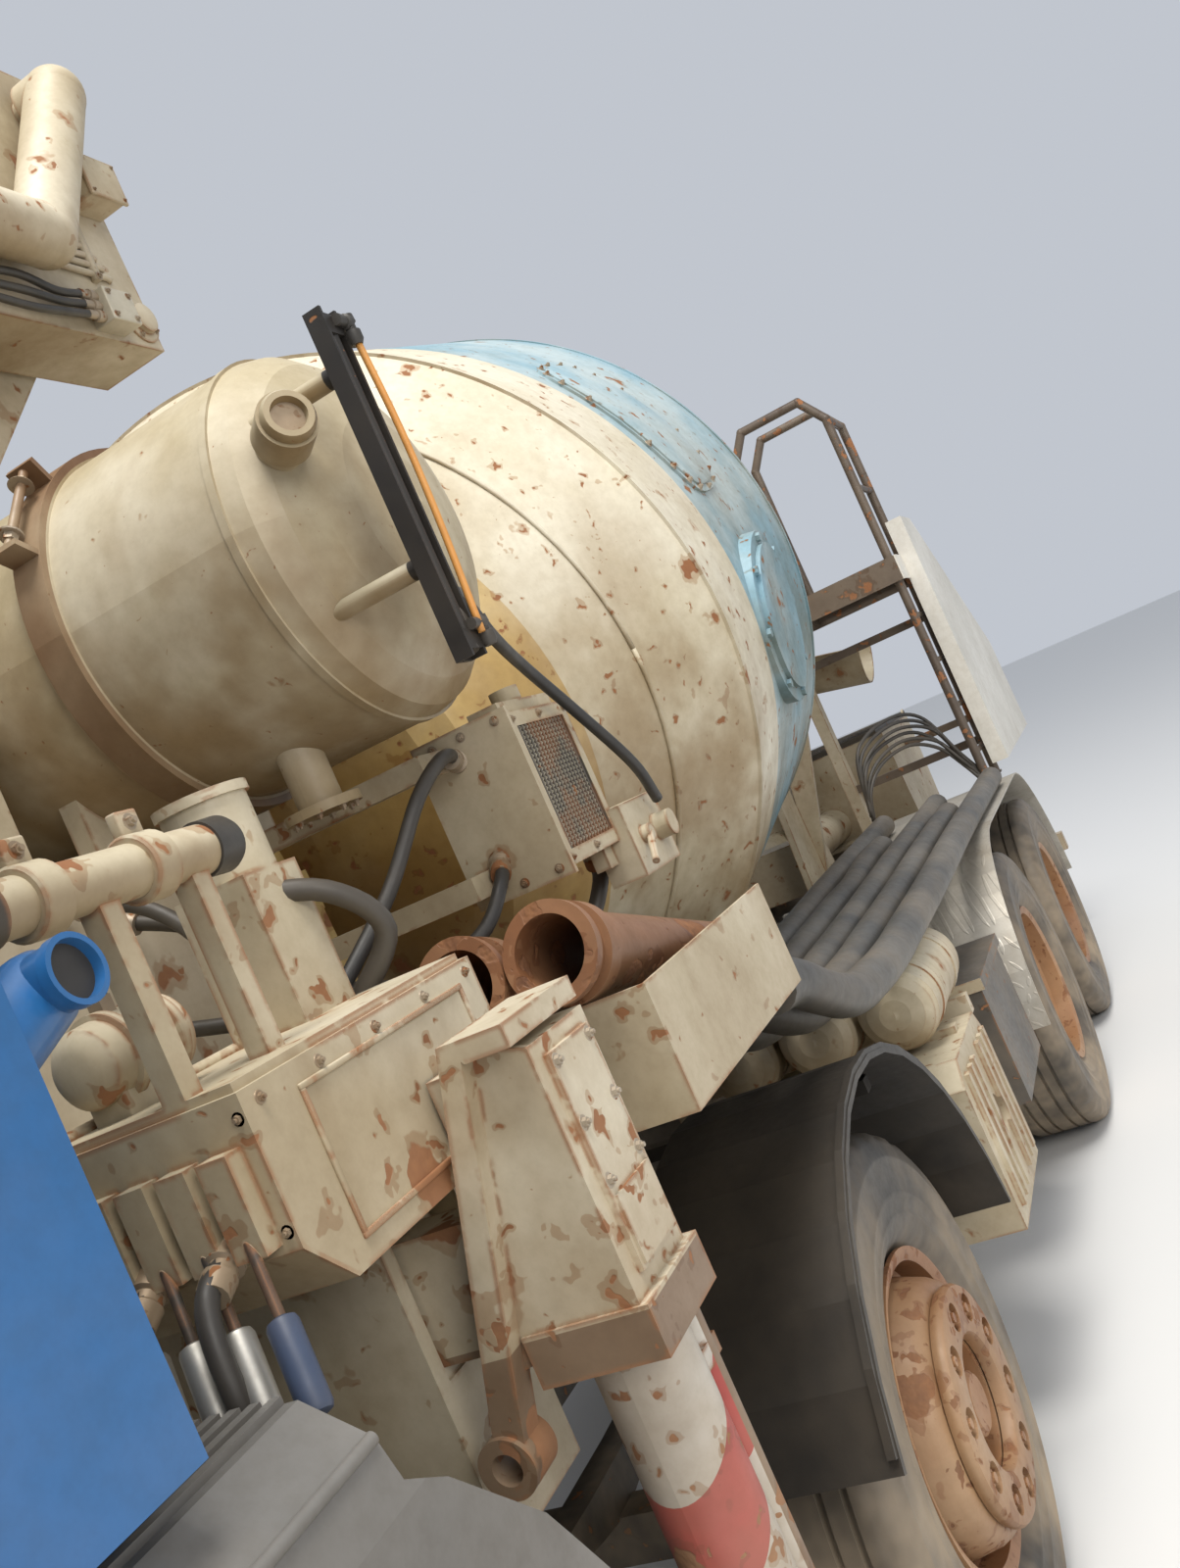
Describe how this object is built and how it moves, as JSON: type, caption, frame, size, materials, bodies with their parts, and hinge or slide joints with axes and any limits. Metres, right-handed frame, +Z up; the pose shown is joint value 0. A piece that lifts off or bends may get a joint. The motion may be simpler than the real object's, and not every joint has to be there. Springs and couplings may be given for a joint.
{
  "type": "concrete mixer truck with a folding placing boom",
  "caption": "Heavy truck with a tilted rotating mixing drum, a folding placing boom over the cab, outriggers, water tank and rear pump hopper.",
  "frame": {"origin": "middle of the truck's length and width, on the ground under the tyres", "axes": "+X forward, +Y to the driver's left, +Z up"},
  "size_m": [9.6298, 2.96, 3.81],
  "materials": {
    "cream_paint": "weathered",
    "blue_paint": "satin",
    "dark_paint": "dusty",
    "iron": "rusty",
    "tyre": "dusty",
    "rubber": "matt",
    "grey_plastic": "matt",
    "chequer_plate": "worn",
    "rod_steel": "polished",
    "ladder_steel": "weathered",
    "glass": "clear"
  },
  "bodies": {
    "chassis": {"frame": "dark_paint", "engine": "dark_paint", "steer_axles": "dark_paint", "drive_axles": "dark_paint", "cab": "blue_paint", "cab_front": "grey_plastic", "cab_inside": "grey_plastic", "windows": "glass", "front_guards": "dark_paint", "rear_guards": "chequer_plate", "drum_drive": "cream_paint", "drum_stand": "cream_paint", "tower": "cream_paint", "water_tank": "cream_paint", "oil_cooler": "chequer_plate", "controls": "cream_paint", "outrigger_box": "cream_paint", "tray": "cream_paint", "delivery_pipes": "iron", "hose_1": "rubber", "hose_2": "rubber", "hose_3": "rubber", "hose_4": "rubber", "hose_5": "rubber", "side_tanks": "dark_paint", "ladder": "ladder_steel", "chute": "cream_paint", "hopper": "cream_paint"},
    "knuckle_1l": {"knuckle_1l": "iron"},
    "knuckle_1r": {"knuckle_1r": "iron"},
    "knuckle_2l": {"knuckle_2l": "iron"},
    "knuckle_2r": {"knuckle_2r": "iron"},
    "wheel_1l": {"wheel_1l": "tyre"},
    "wheel_1r": {"wheel_1r": "tyre"},
    "wheel_2l": {"wheel_2l": "tyre"},
    "wheel_2r": {"wheel_2r": "tyre"},
    "wheel_3l": {"wheel_3l": "tyre"},
    "wheel_3r": {"wheel_3r": "tyre"},
    "wheel_4l": {"wheel_4l": "tyre"},
    "wheel_4r": {"wheel_4r": "tyre"},
    "door_l": {"door_l": "blue_paint", "window_l": "glass"},
    "door_r": {"door_r": "blue_paint", "window_r": "glass"},
    "boom_1": {"boom_1": "cream_paint"},
    "boom_2": {"boom_2": "cream_paint"},
    "boom_3": {"boom_3": "cream_paint"},
    "lift_barrel": {"lift_barrel": "cream_paint"},
    "lift_rod": {"lift_rod": "rod_steel"},
    "outrigger_l": {"outrigger_l": "cream_paint"},
    "outrigger_r": {"outrigger_r": "cream_paint"},
    "leg_l": {"leg_l": "rod_steel"},
    "leg_r": {"leg_r": "rod_steel"},
    "drum": {"drum": "cream_paint"},
    "turret": {"turret": "cream_paint"},
    "swing_chute": {"swing_chute": "cream_paint"},
    "hopper_grid": {"hopper_grid": "iron"}
  },
  "joints": [
    {"name": "steer_1l", "type": "hinge", "parent": "chassis", "child": "knuckle_1l", "pos_m": [2.93, 0.85, 0.52], "axis": [0, 0, 1], "range_deg": [-35, 35]},
    {"name": "spin_1l", "type": "hinge", "parent": "knuckle_1l", "child": "wheel_1l", "pos_m": [2.93, 1.02, 0.52], "axis": [0, 1, 0], "continuous": true},
    {"name": "steer_2l", "type": "hinge", "parent": "chassis", "child": "knuckle_2l", "pos_m": [1.13, 0.85, 0.52], "axis": [0, 0, 1], "range_deg": [-25, 25]},
    {"name": "spin_2l", "type": "hinge", "parent": "knuckle_2l", "child": "wheel_2l", "pos_m": [1.13, 1.02, 0.52], "axis": [0, 1, 0], "continuous": true},
    {"name": "spin_3l", "type": "hinge", "parent": "chassis", "child": "wheel_3l", "pos_m": [-1.72, 0.92, 0.52], "axis": [0, 1, 0], "continuous": true},
    {"name": "spin_4l", "type": "hinge", "parent": "chassis", "child": "wheel_4l", "pos_m": [-3.07, 0.92, 0.52], "axis": [0, 1, 0], "continuous": true},
    {"name": "door_l", "type": "hinge", "parent": "chassis", "child": "door_l", "pos_m": [4.112, 1.168, 1.46], "axis": [0, 0, -1], "range_deg": [0, 70]},
    {"name": "steer_1r", "type": "hinge", "parent": "chassis", "child": "knuckle_1r", "pos_m": [2.93, -0.85, 0.52], "axis": [0, 0, 1], "range_deg": [-35, 35]},
    {"name": "spin_1r", "type": "hinge", "parent": "knuckle_1r", "child": "wheel_1r", "pos_m": [2.93, -1.02, 0.52], "axis": [0, 1, 0], "continuous": true},
    {"name": "steer_2r", "type": "hinge", "parent": "chassis", "child": "knuckle_2r", "pos_m": [1.13, -0.85, 0.52], "axis": [0, 0, 1], "range_deg": [-25, 25]},
    {"name": "spin_2r", "type": "hinge", "parent": "knuckle_2r", "child": "wheel_2r", "pos_m": [1.13, -1.02, 0.52], "axis": [0, 1, 0], "continuous": true},
    {"name": "spin_3r", "type": "hinge", "parent": "chassis", "child": "wheel_3r", "pos_m": [-1.72, -0.92, 0.52], "axis": [0, 1, 0], "continuous": true},
    {"name": "spin_4r", "type": "hinge", "parent": "chassis", "child": "wheel_4r", "pos_m": [-3.07, -0.92, 0.52], "axis": [0, 1, 0], "continuous": true},
    {"name": "door_r", "type": "hinge", "parent": "chassis", "child": "door_r", "pos_m": [4.112, -1.168, 1.46], "axis": [0, 0, 1], "range_deg": [0, 70]},
    {"name": "drum_spin", "type": "hinge", "parent": "chassis", "child": "drum", "pos_m": [1.08, 0, 2.02], "axis": [-0.9799, 0, 0.1994], "continuous": true},
    {"name": "boom_slew", "type": "hinge", "parent": "chassis", "child": "turret", "pos_m": [2.16, 0, 2.79], "axis": [0, 0, 1], "range_deg": [-135, 135]},
    {"name": "boom_raise", "type": "hinge", "parent": "turret", "child": "boom_1", "pos_m": [1.25, 0, 3.3], "axis": [0, -1, 0], "range_deg": [0, 85]},
    {"name": "elbow_1", "type": "hinge", "parent": "boom_1", "child": "boom_2", "pos_m": [4.67, 0.305, 3.3], "axis": [0, 1, 0], "range_deg": [0, 180]},
    {"name": "elbow_2", "type": "hinge", "parent": "boom_2", "child": "boom_3", "pos_m": [1.08, 0.08, 3.69], "axis": [0, -1, 0], "range_deg": [0, 180]},
    {"name": "lift_turn", "type": "hinge", "parent": "turret", "child": "lift_barrel", "pos_m": [1.7, 0, 2.915], "axis": [0, -1, 0], "range_deg": [0, 86]},
    {"name": "lift_slide", "type": "slide", "parent": "lift_barrel", "child": "lift_rod", "axis": [0.9889, 0, 0.1483], "range_m": [0, 0.82]},
    {"name": "outrigger_l", "type": "slide", "parent": "chassis", "child": "outrigger_l", "axis": [0, 1, 0], "range_m": [0, 0.7]},
    {"name": "jack_l", "type": "slide", "parent": "outrigger_l", "child": "leg_l", "axis": [0, 0, -1], "range_m": [0, 0.55]},
    {"name": "outrigger_r", "type": "slide", "parent": "chassis", "child": "outrigger_r", "axis": [0, -1, 0], "range_m": [0, 0.7]},
    {"name": "jack_r", "type": "slide", "parent": "outrigger_r", "child": "leg_r", "axis": [0, 0, -1], "range_m": [0, 0.55]},
    {"name": "chute_swing", "type": "hinge", "parent": "chassis", "child": "swing_chute", "pos_m": [-3.7447, 0, 1.9], "axis": [0, 0, 1], "range_deg": [0, 180]},
    {"name": "grid_lift", "type": "hinge", "parent": "chassis", "child": "hopper_grid", "pos_m": [-4.775, 0, 1.582], "axis": [0, -1, 0], "range_deg": [0, 85]}
  ],
  "couplings": [
    {"joint": "steer_1r", "follows": "steer_1l", "ratio": 1},
    {"joint": "steer_2l", "follows": "steer_1l", "ratio": 0.7},
    {"joint": "steer_2r", "follows": "steer_1l", "ratio": 0.7},
    {"joint": "lift_turn", "follows": "boom_raise", "ratio": 0.993},
    {"joint": "lift_slide", "follows": "boom_raise", "m_per_rad": 0.5394}
  ]
}
